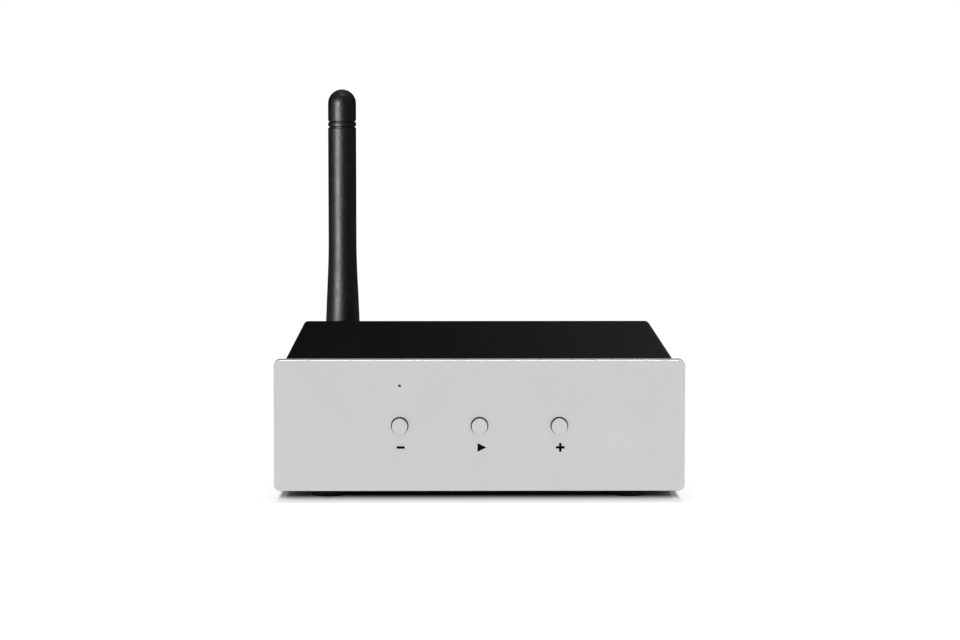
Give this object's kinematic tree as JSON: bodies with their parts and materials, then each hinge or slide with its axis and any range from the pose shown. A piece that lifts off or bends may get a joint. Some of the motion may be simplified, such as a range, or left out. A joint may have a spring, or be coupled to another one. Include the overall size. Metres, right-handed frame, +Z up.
{
  "type": "network music streamer",
  "caption": "Compact network music streamer: silver front plate with push buttons, black folded-steel case, rear audio, network and power sockets, and a swivelling, folding antenna.",
  "frame": {"origin": "centre of the bounding box's base, level with the soles of the feet", "axes": "+X to the right seen from the front, +Y to the rear, +Z up"},
  "size_m": [0.103, 0.1368, 0.1011],
  "materials": {
    "silver_anodised": "bead-blasted, anodised",
    "silver_button": "turned, anodised",
    "black_coat": "fine black powder coat",
    "black_screw": "black oxide",
    "zinc_screw": "bright zinc",
    "black_rubber": "matte",
    "dark_plastic": "fine moulded grain",
    "shutter_plastic": "moulded",
    "ivory_plastic": "moulded",
    "green_board": "solder mask over glass laminate",
    "blue_board": "solder mask over glass laminate",
    "clear_plastic": "clear moulded",
    "light_chip": "clear epoxy",
    "socket_light": "diffused epoxy",
    "ribbon_skin": "flat flexible cable",
    "brass_hex": "turned",
    "tinned_steel": "tinned sheet",
    "chip_resin": "moulded resin",
    "capacitor_can": "printed sleeve over an aluminium can",
    "ferrite": "sintered ferrite",
    "gold_contact": "gold plated",
    "gold_shell": "gold plated, turned",
    "red_lens": "tinted lens",
    "white_ring": "moulded",
    "red_ring": "moulded",
    "nickel_pin": "nickel plated",
    "spring_steel": "ground",
    "coax_jacket": "extruded jacket",
    "antenna_skin": "moulded elastomer with a fine grain",
    "coupling_black": "black plated, knurled",
    "copper_element": "drawn"
  },
  "bodies": {
    "case": {"front_panel": "silver_anodised", "chassis": "black_coat", "rear_panel": "black_coat", "top_cover": "black_coat", "cover_screws": "black_screw", "rear_screws": "black_screw", "panel_screws": "zinc_screw", "guide_screws": "zinc_screw", "front_board_screws": "zinc_screw", "board_screws": "zinc_screw", "foot_front_left": "black_rubber", "foot_front_right": "black_rubber", "foot_rear_left": "black_rubber", "foot_rear_right": "black_rubber", "button_guide": "dark_plastic", "switch_bodies": "dark_plastic", "optical_housing": "dark_plastic", "phono_housing": "dark_plastic", "power_housing": "dark_plastic", "lan_housing": "dark_plastic", "ribbon_connectors": "ivory_plastic", "phono_insulators": "ivory_plastic", "front_board": "green_board", "main_board": "green_board", "radio_module": "blue_board", "light_pipe": "clear_plastic", "status_light": "light_chip", "lan_lights": "socket_light", "ribbon_cable": "ribbon_skin", "board_standoffs": "brass_hex", "module_shield": "tinned_steel", "lan_shield": "tinned_steel", "board_chips": "chip_resin", "electrolytic_capacitors": "capacitor_can", "power_inductor": "ferrite", "lan_contacts": "gold_contact", "phono_contacts": "gold_contact", "pigtail_plug": "gold_contact", "phono_shells": "gold_shell", "antenna_socket": "gold_shell", "antenna_nut": "gold_shell", "optical_emitter": "red_lens", "phono_ring_white": "white_ring", "phono_ring_red": "red_ring", "power_pin": "nickel_pin", "antenna_washer": "spring_steel", "antenna_pigtail": "coax_jacket", "antenna_coupling": "coupling_black"},
    "minus_key": {"button_minus": "silver_button", "plunger_minus": "ivory_plastic"},
    "play_key": {"button_play": "silver_button", "plunger_play": "ivory_plastic"},
    "plus_key": {"button_plus": "silver_button", "plunger_plus": "ivory_plastic"},
    "dust_shutter": {"optical_shutter": "shutter_plastic"},
    "antenna_knuckle": {"antenna_base": "antenna_skin", "antenna_hinge_pin": "spring_steel"},
    "antenna_stick": {"antenna_whip": "antenna_skin", "antenna_cap": "antenna_skin", "antenna_element": "copper_element"}
  },
  "joints": [
    {"name": "minus_press", "type": "slide", "parent": "case", "child": "minus_key", "axis": [0, 1, 0], "range_m": [0, 0.0005], "stiffness_N_per_m": 3000},
    {"name": "play_press", "type": "slide", "parent": "case", "child": "play_key", "axis": [0, 1, 0], "range_m": [0, 0.0005], "stiffness_N_per_m": 3000},
    {"name": "plus_press", "type": "slide", "parent": "case", "child": "plus_key", "axis": [0, 1, 0], "range_m": [0, 0.0005], "stiffness_N_per_m": 3000},
    {"name": "shutter_swing", "type": "hinge", "parent": "case", "child": "dust_shutter", "pos_m": [0.00468, 0.0418, 0.0191], "axis": [1, 0, 0], "range_deg": [-80, 0], "stiffness_Nm_per_rad": 0.0004, "springref_deg": 28.65},
    {"name": "antenna_swivel", "type": "hinge", "parent": "case", "child": "antenna_knuckle", "pos_m": [-0.03875, 0.0634, 0.0175], "axis": [0, 1, 0], "range_deg": [-90, 90]},
    {"name": "antenna_fold", "type": "hinge", "parent": "antenna_knuckle", "child": "antenna_stick", "pos_m": [-0.03875, 0.0634, 0.0175], "axis": [1, 0, 0], "range_deg": [-90, 0]}
  ]
}
